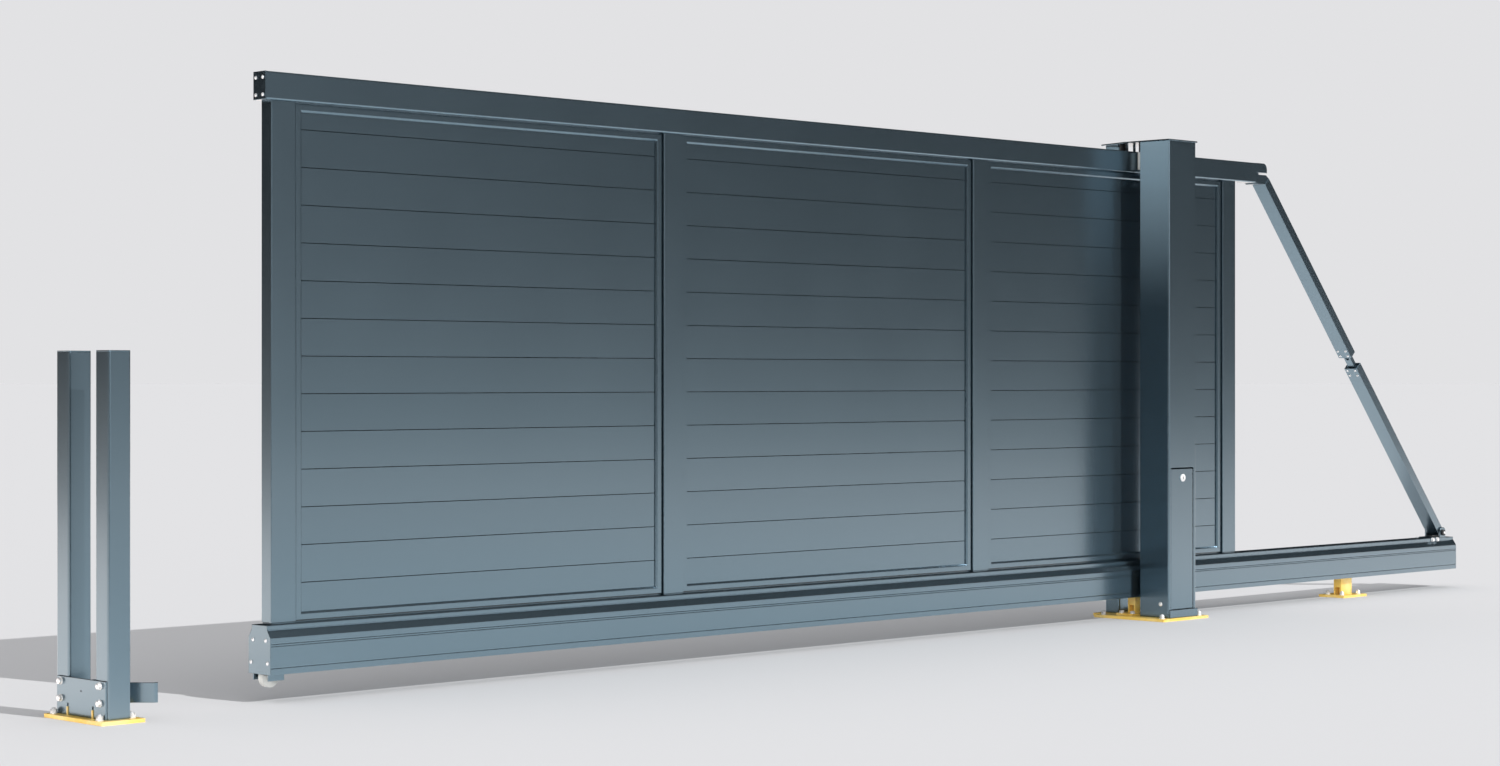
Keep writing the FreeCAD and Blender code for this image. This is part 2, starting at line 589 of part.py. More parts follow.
# End roller between two cheeks under the rail's front end
def build_end_roller():
    at = ("-leaf_front+end_roller_setback", "0", "rail_underside")
    bracket = new_body("end_roller_bracket", at)
    cheek = rectangle("-cheek_length/2", "cheek_length/2", "-cheek_drop", "0")
    outside = "cheek_gap/2+cheek_thickness"
    pad(bracket, draw(bracket, "XZ_Plane", [cheek], lift="cheek_gap/2"), "cheek_thickness")
    axle = [("0", "-end_roller_drop", "end_axle")]
    pad(bracket, draw(bracket, "XZ_Plane", circles=axle, lift=f"-({outside})"), f"2*({outside})")
    pad(bracket, draw(bracket, "XZ_Plane", [cheek], lift=f"-({outside})"), "cheek_thickness")
    keep(bracket, "end_roller_bracket")
    roller = new_body("end_roller", at)
    ring = [("0", "-end_roller_drop", "end_roller_diameter"),
            ("0", "-end_roller_drop", "end_axle+2*pin_clearance")]
    pad(roller, draw(roller, "XZ_Plane", circles=ring, lift="-end_roller_width/2"), "end_roller_width")
    keep(roller, "end_roller")


# Leaf frame: top beam, stiles, board panels and their beads
def build_leaf():
    middle = "beam_underside+beam_height/2"
    beam = extrusion("top_beam", "YZ_Plane", tube_section("beam_depth", "beam_height", "beam_wall"),
                     f"{beam_length}-cap_thickness", ("-leaf_front+cap_thickness", "0", middle))
    round_edges(beam, "beam_round", outer_corners(beam, "x"))
    extrusion("top_beam_front_cap", "YZ_Plane", [centred("beam_depth", "beam_height")], "cap_thickness",
              ("-leaf_front", "0", middle))

    bay_height = f"beam_underside-{rail_top}"
    for number, label in enumerate(("front_stile", "middle_stile_1", "middle_stile_2", "rear_stile")):
        x = f"-leaf_front+stile_setback+stile_width/2+{number}*stile_pitch"
        stile = new_body(label, (x, "0", rail_top))
        pad(stile, draw(stile, "XY_Plane", tube_section("stile_width", "stile_depth", "stile_wall"),
                        lift="stile_gap"), f"{bay_height}-stile_gap")
        round_edges(stile, "stile_round", outer_corners(stile, "z"))
        plug = centred("stile_width-2*stile_wall", "stile_depth-2*stile_wall")
        pad(stile, draw(stile, "XY_Plane", [plug]), "2*stile_gap")
        keep(stile, label)

    bay_width = "(stile_pitch-stile_width)"
    for bay in (1, 2, 3):
        x = f"-leaf_front+stile_setback+stile_width+{bay - 1}*stile_pitch"
        build_panel(bay, bay_width, bay_height, (x, "0", rail_top))
        build_beads(bay, bay_width, bay_height, (x, "0", rail_top))


# Panel of horizontal boards: a V joint cut along both faces and repeated upwards
def build_panel(bay, width, height, at):
    panel = new_body(f"panel_{bay}", at)
    slab = rectangle("0", width, "-panel_thickness/2", "panel_thickness/2")
    pad(panel, draw(panel, "XY_Plane", [slab]), height)
    joints = [[(f"{sign}panel_thickness/2", "first_joint-board_joint"),
               (f"{sign}(panel_thickness/2-board_joint)", "first_joint"),
               (f"{sign}panel_thickness/2", "first_joint+board_joint")] for sign in ("-", "")]
    cut = pocket(panel, draw(panel, "YZ_Plane", joints), width, backwards=True)
    rows = panel.newObject("PartDesign::LinearPattern", panel.Name + "_rows")
    rows.Originals = [cut]
    rows.Direction = (origin_item(panel, "Z_Axis"), [""])
    more_joints = f"floor(({height}-first_joint)/board_pitch)"
    bind(rows, "Length", f"board_pitch*{more_joints}")
    bind(rows, "Occurrences", f"{more_joints}+1")
    panel.Tip = rows
    doc.recompute()
    keep(panel, f"panel_{bay}")


def build_beads(bay, width, height, at):
    outer = rectangle("bead_side_gap", f"{width}-bead_side_gap", "bead_low_gap", f"{height}-bead_top_gap")
    inner = rectangle("bead_side_gap+bead_width", f"{width}-bead_side_gap-bead_width",
                      "bead_low_gap+bead_width", f"{height}-bead_top_gap-bead_width")
    front = new_body(f"front_bead_{bay}", at)
    pad(front, draw(front, "XZ_Plane", [outer, inner], lift="panel_thickness/2"), "bead_height")
    ring = front.Tip
    bounds = ring.Shape.BoundBox

    def inside(edge):
        box = edge.BoundBox
        level = box.ZMin > bounds.ZMin + 1 and box.ZMax < bounds.ZMax - 1
        upright = box.XMin > bounds.XMin + 1 and box.XMax < bounds.XMax - 1
        return level and upright and abs(box.YMax - bounds.YMin) < 0.01
    names = [f"Edge{number}" for number, edge in enumerate(ring.Shape.Edges, start=1) if inside(edge)]
    chamfer = front.newObject("PartDesign::Chamfer", front.Name + "_chamfer")
    chamfer.Base = (ring, names)
    bind(chamfer, "Size", "bead_chamfer")
    doc.recompute()
    rear = doc.addObject("Part::Mirroring", f"rear_bead_{bay}")
    rear.Source = front
    rear.Normal = FreeCAD.Vector(0, 1, 0)
    pair = doc.addObject("Part::Compound", f"panel_beads_{bay}")
    pair.Links = [front, rear]
    keep(pair, f"panel_beads_{bay}")


# Tail brace: two tubular struts on one line with a coupling bar between them. The upper strut's head hangs
# on a stud under a hinge block on the beam, and the lower strut sits on a pin between two ears on the rail.
def build_brace():
    top_x = f"({beam_end}+brace_top_reach)"
    top_z = "(beam_underside+beam_height-brace_top_drop)"
    foot_x = f"({rail_end}-brace_foot_reach)"
    foot_z = f"({rail_top}+brace_foot_rise)"
    run = f"({foot_x}-{top_x})"
    fall = f"({top_z}-{foot_z})"
    length = f"sqrt({run}*{run}+{fall}*{fall})"
    angle = f"atan2({fall}; {run})"

    def lean(body, text):
        body.Placement.Rotation = FreeCAD.Rotation(FreeCAD.Vector(0, 1, 0), 48)
        bind(body, "Placement.Rotation.Angle", text)

    def strut(label, at, turn, start):
        body = new_body(label, at)
        lean(body, turn)
        end = f"({length}-strut_gap)/2"
        section = tube_section("strut_width", "strut_height", "strut_wall")
        pad(body, draw(body, "YZ_Plane", section[:1], lift=start), "strut_wall")
        pad(body, draw(body, "YZ_Plane", section, lift=f"{start}+strut_wall"), f"{end}-({start})-strut_wall")
        plug = [centred("strut_width-strut_wall", "strut_height-strut_wall"),
                centred("coupling_width+2*seat_clearance", "coupling_height+2*seat_clearance")]
        pad(body, draw(body, "YZ_Plane", plug, lift=f"{end}-plug_recess-plug_length"), "plug_length")
        return keep(body, label)

    strut("brace_upper_strut", (top_x, "0", top_z), angle, "strut_head")
    strut("brace_lower_strut", (foot_x, "0", foot_z), f"{angle}+180deg", "-strut_foot")

    coupling = new_body("brace_coupling", (f"({top_x}+{foot_x})/2", "0", f"({top_z}+{foot_z})/2"))
    lean(coupling, angle)
    half_bar = "(strut_gap/2+plug_recess+plug_length)"
    bar = centred("coupling_width", "coupling_height")
    pad(coupling, draw(coupling, "YZ_Plane", [bar], lift=f"-{half_bar}"), f"2*{half_bar}")
    hole = [("-(strut_gap/2-coupling_hole_inset)", "0", "coupling_hole")]
    pocket(coupling, draw(coupling, "XY_Plane", circles=hole, lift="coupling_height/2"), "coupling_height")
    keep(coupling, "brace_coupling")

    block_low = "(brace_top_drop-hinge_block_height)"
    end_x = f"strut_head*cos({angle})"
    end_z = f"-strut_head*sin({angle})"
    half_x = f"strut_height/2*sin({angle})"
    half_z = f"strut_height/2*cos({angle})"
    back = "-(brace_top_reach-lug_thickness-head_clearance)"
    head_top = f"{block_low}-hinge_gap"
    head = new_body("brace_head", (top_x, "0", top_z))
    outline = [(back, head_top), ("head_flat", head_top), (f"{end_x}+{half_x}", f"{end_z}+{half_z}"),
               (f"{end_x}-{half_x}", f"{end_z}-{half_z}"), (back, f"{end_z}-{half_z}")]
    pad(head, draw(head, "XZ_Plane", [outline], lift="-beam_depth/2"), "beam_depth")
    keep(head, "brace_head")

    hinge = new_body("brace_top_hinge", (top_x, "0", top_z))
    plate = rectangle("-beam_depth/2", "beam_depth/2", "brace_top_drop-beam_height", "brace_top_drop")
    near = "(lug_thickness-brace_top_reach)"
    far = f"{near}+hinge_block_length"
    block = rectangle(near, far, block_low, "brace_top_drop")
    pad(hinge, draw(hinge, "XZ_Plane", [block], lift="-beam_depth/2"), "beam_depth")
    corner = hinge.Tip.Shape.BoundBox

    def nose(edge):
        box = edge.BoundBox
        return box.XMin > corner.XMax - 0.01 and box.ZMin > corner.ZMax - 0.01
    round_edges(hinge, "hinge_block_round", nose)
    pad(hinge, draw(hinge, "YZ_Plane", [plate], lift="-brace_top_reach"), "lug_thickness")
    stud = [("0", "0", "hinge_stud")]
    pad(hinge, draw(hinge, "XY_Plane", circles=stud, lift=head_top), "hinge_gap")
    keep(hinge, "brace_top_hinge")

    clevis = new_body("brace_clevis", (foot_x, "0", rail_top))
    foot = rectangle("-clevis_tail", "ear_width/2", "-rail_lip/2", "rail_lip/2")
    ear = rectangle("-ear_width/2", "ear_width/2", "0", "brace_foot_rise+ear_width/2")
    ear_in = "(strut_width/2+seat_clearance)"
    for lift in (ear_in, f"-({ear_in}+lug_thickness)"):
        pad(clevis, draw(clevis, "XZ_Plane", [ear], lift=lift), "lug_thickness")
        if lift == ear_in:
            pad(clevis, draw(clevis, "XY_Plane", [foot]), "clevis_plate")
    crown = clevis.Tip.Shape.BoundBox.ZMax

    def shoulder(edge):
        box = edge.BoundBox
        return box.ZMin > crown - 0.01 and box.XLength < 0.01
    round_edges(clevis, "ear_round", shoulder)
    keep(clevis, "brace_clevis")


# Every object has to be sound before any file is written
def export():
    doc.recompute()
    for thing in doc.Objects:
        if "Invalid" in thing.State or "Error" in thing.State:
            raise RuntimeError(f"{thing.Label} failed")
    os.makedirs("parts", exist_ok=True)
    for part in parts:
        if part.Shape.isNull() or not part.Shape.isValid():
            raise RuntimeError(f"{part.Label} has no sound shape")
    for part in parts:
        part.Shape.exportStep(f"parts/{part.Label}.step")
        print(part.Label, len(part.Shape.Solids), round(part.Shape.Volume / 1000), "cm3")


build_portal()
build_door()
build_guide("front", "-", "front_post_gap")
build_guide("rear", "", "rear_post_gap")
build_carriage("front", "front_foot_width", "front_foot_thickness", ("0", "0", "base_thickness"), False)
build_carriage("rear", "rear_foot_width", "base_thickness", ("rear_carriage_place", "0", "0"), True)
build_wheels(("0", "rear_carriage_place"))
build_receiver()
build_rail()
build_end_roller()
build_leaf()
build_brace()
export()
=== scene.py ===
import json
import math

import bmesh
import bpy
import numpy as np
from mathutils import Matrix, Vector


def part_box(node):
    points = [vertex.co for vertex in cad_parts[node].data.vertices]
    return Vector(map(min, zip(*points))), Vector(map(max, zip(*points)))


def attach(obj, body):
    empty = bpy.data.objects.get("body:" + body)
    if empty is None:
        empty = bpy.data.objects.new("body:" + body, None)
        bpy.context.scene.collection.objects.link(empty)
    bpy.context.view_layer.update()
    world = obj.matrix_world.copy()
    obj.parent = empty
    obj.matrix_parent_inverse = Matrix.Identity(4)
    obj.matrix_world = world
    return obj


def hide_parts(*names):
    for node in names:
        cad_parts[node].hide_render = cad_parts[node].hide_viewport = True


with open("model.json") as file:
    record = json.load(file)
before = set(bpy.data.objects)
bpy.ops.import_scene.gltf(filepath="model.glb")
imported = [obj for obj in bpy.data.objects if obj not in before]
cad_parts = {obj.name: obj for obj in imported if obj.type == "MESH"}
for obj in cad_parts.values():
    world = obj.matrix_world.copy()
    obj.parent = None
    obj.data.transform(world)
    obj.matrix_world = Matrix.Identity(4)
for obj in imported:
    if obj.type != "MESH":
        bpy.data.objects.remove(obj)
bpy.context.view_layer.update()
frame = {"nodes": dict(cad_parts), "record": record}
nodes = frame["nodes"]
print("frame loaded with", len(nodes), "nodes")


# A socket of a node tree. Sums and products of wires and numbers add Math nodes.
class Wire:
    def __init__(self, tree, socket=None):
        self.tree = tree
        self.socket = socket

    # any node: its type, its settings, then the values or wires of its sockets
    def node(self, kind, settings=None, sockets=None, output=0):
        made = self.tree.nodes.new(kind)
        for name, value in (settings or {}).items():
            setattr(made, name, value)
        for name, value in (sockets or {}).items():
            if isinstance(value, Wire):
                self.tree.links.new(value.socket, made.inputs[name])
            else:
                made.inputs[name].default_value = value
        return Wire(self.tree, made.outputs[output] if len(made.outputs) else None)

    def math(self, operation, *values):
        return self.node("ShaderNodeMath", {"operation": operation}, dict(enumerate(values)))

    def __add__(self, other):
        return self.math("ADD", self, other)

    def __sub__(self, other):
        return self.math("SUBTRACT", self, other)

    def __rsub__(self, other):
        return self.math("SUBTRACT", other, self)

    def __mul__(self, other):
        return self.math("MULTIPLY", self, other)

    __radd__ = __add__
    __rmul__ = __mul__


# an empty node tree of a material or world, and a wire to build on
def freshTree(owner):
    owner.use_nodes = True
    owner.node_tree.nodes.clear()
    return Wire(owner.node_tree)


def newMaterial(name):
    material = bpy.data.materials.new(name)
    return material, freshTree(material)


def objectPlace(wire):
    return wire.node("ShaderNodeTexCoord", output=3)


# one of the three coordinates of a place: 0, 1 or 2 for x, y or z
def coordinate(wire, place, which):
    return wire.node("ShaderNodeSeparateXYZ", {}, {0: place}, output=which)


# two colours mixed by a wire
def blendColours(wire, factor, first, second):
    return wire.node("ShaderNodeMix", {"data_type": "RGBA"}, {0: factor, 6: first, 7: second}, output=2)


def noise(wire, place, scale, detail=2.0, roughness=0.5):
    return wire.node("ShaderNodeTexNoise", {}, {"Vector": place, "Scale": scale, "Detail": detail,
                                                "Roughness": roughness})


# a level that a noise, which lies about a half, moves up and down
def varied(level, cloud, spread):
    return level + (cloud - 0.5) * spread


# a wire carried from one range to another, with soft ends
def softRange(wire, value, low, high, toLow=0.0, toHigh=1.0):
    return wire.node("ShaderNodeMapRange", {"interpolation_type": "SMOOTHSTEP"},
                     {"Value": value, "From Min": low, "From Max": high,
                      "To Min": toLow, "To Max": toHigh})


def relief(wire, height, strength, depth, **others):
    return wire.node("ShaderNodeBump", {}, {"Strength": strength, "Distance": depth,
                                            "Height": height, **others})


def finishMaterial(wire, sockets):
    shader = wire.node("ShaderNodeBsdfPrincipled", {}, sockets)
    wire.node("ShaderNodeOutputMaterial", {}, {"Surface": shader})


# Boards of the panels: their height, the lowest joint above the rail, and the groove of a joint
boards = {"pitch": 0.125, "firstJoint": 0.132, "jointHalf": 0.0014, "jointDepth": 0.0035}


def lowestJoint():
    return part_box("bottom_rail")[1].z + boards["firstJoint"]


# Anthracite satin paint: metal flake under a thin clear coat, with a fine sprayed grain
paintLook = {
    "flake": (0.152, 0.218, 0.262, 1.0), "flakeDeep": (0.138, 0.200, 0.242, 1.0), "metallic": 0.87,
    "roughness": 0.25, "roughnessSpread": 0.03, "coat": 0.30, "coatRoughness": 0.12,
    "cloudScale": 2.6, "cloudDetail": 3.0, "grainScale": 520.0, "grainDetail": 1.0, "grainDepth": 0.00003,
    "grainStrength": 0.03, "boardShift": 0.5, "jointPaintedShade": (0.020, 0.027, 0.032, 1.0), "shadeHalf": 0.0011,
    "shadeFade": 0.0005, "edgeRadius": 0.0035, "edgeSamples": 6,
}


def paintMaterial(name, byBoard):
    material, wire = newMaterial(name)
    place = objectPlace(wire)
    cloud = noise(wire, place, paintLook["cloudScale"], paintLook["cloudDetail"])
    grain = noise(wire, place, paintLook["grainScale"], paintLook["grainDetail"])
    if byBoard:
        # each board of a panel is a shade of its own: a random number for the board's row
        count = (coordinate(wire, place, 2) - lowestJoint()) * (1.0 / boards["pitch"])
        row = wire.math("FLOOR", count)
        shade = wire.node("ShaderNodeTexWhiteNoise", {"noise_dimensions": "1D"}, {"W": row})
        tone = cloud * (1.0 - paintLook["boardShift"]) + shade * paintLook["boardShift"]
        flake = blendColours(wire, tone, paintLook["flakeDeep"], paintLook["flake"])
        # painted shade in the joint between two boards, which also takes the metal out there: distance
        # from the nearest joint line
        away = wire.math("ABSOLUTE", count - wire.math("ROUND", count)) * boards["pitch"]
        half = paintLook["shadeHalf"]
        # gap is the share of painted shade, full along the joint line
        gap = softRange(wire, away, half, half + paintLook["shadeFade"], 1.0, 0.0)
        colour = blendColours(wire, gap, flake, paintLook["jointPaintedShade"])
        metal = (1.0 - gap) * paintLook["metallic"]
        rounded = {}
    else:
        colour = blendColours(wire, cloud, paintLook["flakeDeep"], paintLook["flake"])
        metal = paintLook["metallic"]
        # the frame's sharp edges catch the light as if slightly rounded
        rounded = {"Normal": wire.node("ShaderNodeBevel", {"samples": paintLook["edgeSamples"]},
                                       {"Radius": paintLook["edgeRadius"]})}
    bump = relief(wire, grain, paintLook["grainStrength"], paintLook["grainDepth"], **rounded)
    rough = varied(paintLook["roughness"], cloud, paintLook["roughnessSpread"])
    finishMaterial(wire, {"Base Color": colour, "Metallic": metal, "Roughness": rough,
                          "Coat Weight": paintLook["coat"], "Coat Roughness": paintLook["coatRoughness"],
                          "Normal": bump})
    return material


# Yellow passivated zinc: gold with faint straw and rose clouds
zincLook = {
    "gold": (0.98, 0.65, 0.13, 1.0), "straw": (1.0, 0.78, 0.32, 1.0), "rose": (0.97, 0.60, 0.11, 1.0),
    "strawRange": (0.35, 0.7), "roseRange": (0.55, 0.8), "roseShare": 0.5, "metallic": 0.28,
    "roughness": 0.30, "roughnessSpread": 0.06, "cloudScale": 9.0, "cloudDetail": 4.0,
    "cloudRoughness": 0.6, "veilScale": 30.0, "veilDetail": 3.0, "grainScale": 900.0,
    "grainDepth": 0.00002, "grainStrength": 0.15,
}


def yellowZincMaterial(name):
    material, wire = newMaterial(name)
    place = objectPlace(wire)
    cloud = noise(wire, place, zincLook["cloudScale"], zincLook["cloudDetail"],
                  zincLook["cloudRoughness"])
    veil = noise(wire, place, zincLook["veilScale"], zincLook["veilDetail"])
    grain = noise(wire, place, zincLook["grainScale"])
    strawShare = softRange(wire, cloud, *zincLook["strawRange"])
    roseShare = softRange(wire, veil, *zincLook["roseRange"], 0.0, zincLook["roseShare"])
    gold = blendColours(wire, strawShare, zincLook["gold"], zincLook["straw"])
    colour = blendColours(wire, roseShare, gold, zincLook["rose"])
    rough = varied(zincLook["roughness"], veil, zincLook["roughnessSpread"])
    bump = relief(wire, grain, zincLook["grainStrength"], zincLook["grainDepth"])
    finishMaterial(wire, {"Base Color": colour, "Metallic": zincLook["metallic"], "Roughness": rough,
                          "Normal": bump})
    return material


# Bright zinc for bolts, nuts and the lock
brightLook = {
    "light": (0.92, 0.925, 0.93, 1.0), "grey": (0.82, 0.83, 0.84, 1.0), "greyRange": (0.3, 0.75),
    "metallic": 0.45, "roughness": 0.26, "roughnessSpread": 0.2, "cloudScale": 120.0, "cloudDetail": 3.0,
    "scratchScale": 700.0, "scratchDepth": 0.00004, "scratchStrength": 0.12,
}


def brightZincMaterial(name):
    material, wire = newMaterial(name)
    place = objectPlace(wire)
    cloud = noise(wire, place, brightLook["cloudScale"], brightLook["cloudDetail"])
    scratch = noise(wire, place, brightLook["scratchScale"])
    greyShare = softRange(wire, cloud, *brightLook["greyRange"])
    colour = blendColours(wire, greyShare, brightLook["light"], brightLook["grey"])
    rough = varied(brightLook["roughness"], scratch, brightLook["roughnessSpread"])
    bump = relief(wire, scratch, brightLook["scratchStrength"], brightLook["scratchDepth"])
    finishMaterial(wire, {"Base Color": colour, "Metallic": brightLook["metallic"], "Roughness": rough,
                          "Normal": bump})
    return material


# White nylon of the rollers: matt, with ivory clouds and a fine grain
nylonLook = {
    "white": (0.87, 0.87, 0.83, 1.0), "ivory": (0.78, 0.78, 0.73, 1.0), "ivoryRange": (0.35, 0.75),
    "roughness": 0.45, "roughnessSpread": 0.1, "cloudScale": 40.0, "cloudDetail": 3.0,
    "grainScale": 800.0, "grainDepth": 0.00005, "grainStrength": 0.3,
}


def nylonMaterial(name):
    material, wire = newMaterial(name)
    place = objectPlace(wire)
    cloud = noise(wire, place, nylonLook["cloudScale"], nylonLook["cloudDetail"])
    grain = noise(wire, place, nylonLook["grainScale"])
    ivoryShare = softRange(wire, cloud, *nylonLook["ivoryRange"])
    colour = blendColours(wire, ivoryShare, nylonLook["white"], nylonLook["ivory"])
    rough = varied(nylonLook["roughness"], grain, nylonLook["roughnessSpread"])
    bump = relief(wire, grain, nylonLook["grainStrength"], nylonLook["grainDepth"])
    finishMaterial(wire, {"Base Color": colour, "Roughness": rough, "Normal": bump})
    return material


# Black plastic of sleeves and collars. The same black is painted shade in the keyway and the tie plate's
# hole, and under the top plate on the sleeves
blackLook = {"black": (0.012, 0.012, 0.013, 1.0), "grey": (0.03, 0.03, 0.032, 1.0), "roughness": 0.5,
             "roughnessSpread": 0.2, "cloudScale": 300.0}


def blackMaterial(name):
    material, wire = newMaterial(name)
    cloud = noise(wire, objectPlace(wire), blackLook["cloudScale"])
    colour = blendColours(wire, cloud, blackLook["black"], blackLook["grey"])
    rough = varied(blackLook["roughness"], cloud, blackLook["roughnessSpread"])
    finishMaterial(wire, {"Base Color": colour, "Roughness": rough})
    return material


framePaint = paintMaterial("anthraciteFrame", False)
boardPaint = paintMaterial("anthraciteBoards", True)
yellowZinc = yellowZincMaterial("yellowZinc")
brightZinc = brightZincMaterial("brightZinc")
whiteNylon = nylonMaterial("whiteNylon")
blackPlasticAndShade = blackMaterial("blackPlasticAndShade")
finishes = {"paint": framePaint, "yellow_zinc": yellowZinc, "steel": brightZinc, "nylon": whiteNylon}
for part in frame["record"]["subparts"]:
    nodes[part["node"]].material_slots[0].material = finishes[part["material_slot"]]
print("finishes set on the frame")

minusX, minusY, plusX, plusY, plusZ = (-1, 0, 0), (0, -1, 0), (1, 0, 0), (0, 1, 0), (0, 0, 1)
meshing = {"mergeDistance": 1e-6, "sharpDegrees": 32.0}


# a mesh from points and quads, with its poles merged and its faces turned outwards
def addPiece(name, points, quads, body, material):
    mesh = bpy.data.meshes.new(name)
    mesh.from_pydata(points.tolist(), [], quads.tolist())
    work = bmesh.new()
    work.from_mesh(mesh)
    bmesh.ops.remove_doubles(work, verts=work.verts, dist=meshing["mergeDistance"])
    bmesh.ops.recalc_face_normals(work, faces=work.faces)
    work.to_mesh(mesh)
    work.free()
    mesh.polygons.foreach_set("use_smooth", np.ones(len(mesh.polygons), bool))
    mesh.set_sharp_from_angle(angle=math.radians(meshing["sharpDegrees"]))
    mesh.materials.append(material)
    piece = bpy.data.objects.new(name, mesh)
    bpy.context.scene.collection.objects.link(piece)
    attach(piece, body)
    return piece


# Quads between rings of points that follow one another: each joins a point and the next one of its ring
# to the same two of the ring above.
def ringQuads(rings, turns):
    step = np.arange(turns)
    after = (step + 1) % turns
    ring = np.arange(rings - 1)[:, None] * turns
    above = ring + turns
    return np.stack([ring + step, ring + after, above + after, above + step], axis=-1).reshape(-1, 4)


# Turned fasteners in one piece. Each row of the outline is a radius, a height and how far it is a
# hexagon. The outline is swept round every place's own axis: a point is the place, plus the radius times
# the cosine across and the sine along, plus the height times the axis. On a hexagon the radius is the
# corner radius times cos 30° over the cosine of the angle from the nearest flat.
def turnedPieces(name, outline, places, axis, across, body, material, turns=24):
    rows = np.array(outline, float)
    angle = np.linspace(0.0, 2 * np.pi, turns, endpoint=False)
    flats = np.cos(np.pi / 6) / np.cos(np.mod(angle, np.pi / 3) - np.pi / 6)
    radius = rows[:, :1] * (1 + rows[:, 2:] * (flats[None] - 1))
    axis = np.array(axis, float) / np.linalg.norm(axis)
    across = np.array(across, float) / np.linalg.norm(across)
    along = np.cross(axis, across)
    shape = (radius * np.cos(angle))[..., None] * across + (radius * np.sin(angle))[..., None] * along
    shape = shape + rows[:, 1, None, None] * axis
    points = np.array(places, float)[:, None, None] + shape[None]
    firsts = np.arange(len(places))[:, None, None] * len(rows) * turns
    quads = (firsts + ringQuads(len(rows), turns)[None]).reshape(-1, 4)
    addPiece(name, points.reshape(-1, 3), quads, body, material)


# Outlines of fasteners, in metres, from the seat's middle out and up to the head's middle. They start a
# little inside the seat. A crown row is a share of the half width over flats and a share of the chamfer.
heads = {"sink": 0.0006, "domeRows": 7, "socketTaper": 0.8, "socketEdge": 0.45, "socketMiddle": 0.4,
         "washerEase": 0.25, "chamfer": 0.07, "crown": ((0.98, 0.0), (0.90, 0.3), (0.0, 0.5)),
         "nutTop": 0.97, "nutMouth": 0.0008, "threadDepth": 0.0006, "studEase": 0.0012,
         "discThickness": 0.0004, "barEase": 0.12}


def seatRows(radius, sink):
    return [(0, -sink, 0), (radius, -sink, 0)]


# pan head: a quarter dome round a hexagon socket
def panHead(diameter, height, socket):
    radius = diameter / 2
    turn = np.linspace(0.0, np.pi / 2, heads["domeRows"])
    dome = [(socket + (radius - socket) * np.cos(angle), height * np.sin(angle), 0) for angle in turn]
    hollow = [(socket * heads["socketTaper"], height * heads["socketEdge"], 1),
              (0, height * heads["socketMiddle"], 0)]
    return seatRows(radius, heads["sink"]) + dome + hollow


def washerRows(radius, thickness):
    ease = thickness * heads["washerEase"]
    edge = [(radius, thickness - ease, 0), (radius - ease, thickness, 0)]
    return seatRows(radius, heads["sink"]) + edge


# the six sides of a head or nut from its washer up to the chamfer, then the top's height and the chamfer
def hexRows(flats, height, washerThickness):
    corner = flats / 2 / math.cos(math.pi / 6)
    top = washerThickness + height
    chamfer = corner * heads["chamfer"]
    return [(corner, washerThickness, 1), (corner, top - chamfer, 1)], top, chamfer


def hexHead(flats, height, washer, washerThickness):
    sides, top, chamfer = hexRows(flats, height, washerThickness)
    crown = [(flats / 2 * share, top + chamfer * rise, 0) for share, rise in heads["crown"]]
    return washerRows(washer / 2, washerThickness) + sides + crown


# stud with a nut: the thread's crests and roots alternate up the free end
def studNut(flats, height, washer, washerThickness, stud, free, pitch):
    sides, top, chamfer = hexRows(flats, height, washerThickness)
    face = [(flats / 2 * heads["nutTop"], top, 0), (stud / 2 + heads["nutMouth"], top, 0)]
    start, end = top + chamfer, top + chamfer + free
    thread = [(stud / 2 - step % 2 * heads["threadDepth"], start + step * pitch / 2, 0)
              for step in range(2 * int(free / pitch))]
    tip = [(stud / 2 - heads["studEase"], end, 0), (0, end, 0)]
    return washerRows(washer / 2, washerThickness) + sides + face + thread + tip


# a small hole, drawn as a thin disc on the face to be coloured as its painted shade
def disc(diameter):
    return washerRows(diameter / 2, heads["discThickness"]) + [(0, heads["discThickness"], 0)]


# a plain round bar or sleeve with an eased end
def bar(diameter, length, sink):
    radius = diameter / 2
    ease = radius * heads["barEase"]
    end = [(radius, length - ease, 0), (radius - ease, length, 0), (0, length, 0)]
    return seatRows(radius, sink) + end


# A panel is one closed skin of four-cornered rings up its height: a point is either end, the middle plus
# or minus half the thickness, and the height. The half thickness dips by the joint's depth at each joint.
def addBoards(name, node):
    low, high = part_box(node)
    middle, half = (low.y + high.y) / 2, (high.y - low.y) / 2
    joints = np.arange(lowestJoint(), high.z - boards["jointDepth"], boards["pitch"])
    reach, deep = boards["jointHalf"], half - boards["jointDepth"]
    atJoints = (joints[:, None] + np.array([-reach, 0.0, reach])).ravel()
    heights = np.concatenate([[low.z], atJoints, [high.z]])
    halves = np.concatenate([[half], np.tile([half, deep, half], len(joints)), [half]])
    ends = np.array([low.x, high.x, high.x, low.x])
    sides = np.array([-1.0, -1.0, 1.0, 1.0])
    x = np.broadcast_to(ends, (len(heights), len(ends)))
    y = middle + halves[:, None] * sides
    z = np.broadcast_to(heights[:, None], x.shape)
    points = np.stack([x, y, z], axis=-1).reshape(-1, 3)
    corners = np.arange(len(ends))
    lids = np.array([corners[::-1], corners + len(points) - len(ends)])
    skin = np.concatenate([ringQuads(len(heights), len(ends)), lids])
    piece = addPiece(name, points, skin, "leaf", boardPaint)
    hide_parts(node)


for bay in (1, 2, 3):
    addBoards(f"boards{bay}", f"panel_{bay}")
print("boards laid")

# Screws on the leaf's two front caps: each row is a distance to both sides and a rise
capScrews = {"railDiameter": 0.0140, "beamDiameter": 0.0125, "height": 0.0036, "socket": 0.0030,
             "railRows": ((0.0355, 0.112), (0.0460, 0.038)),
             "beamRows": ((0.0195, 0.073), (0.0195, 0.016))}


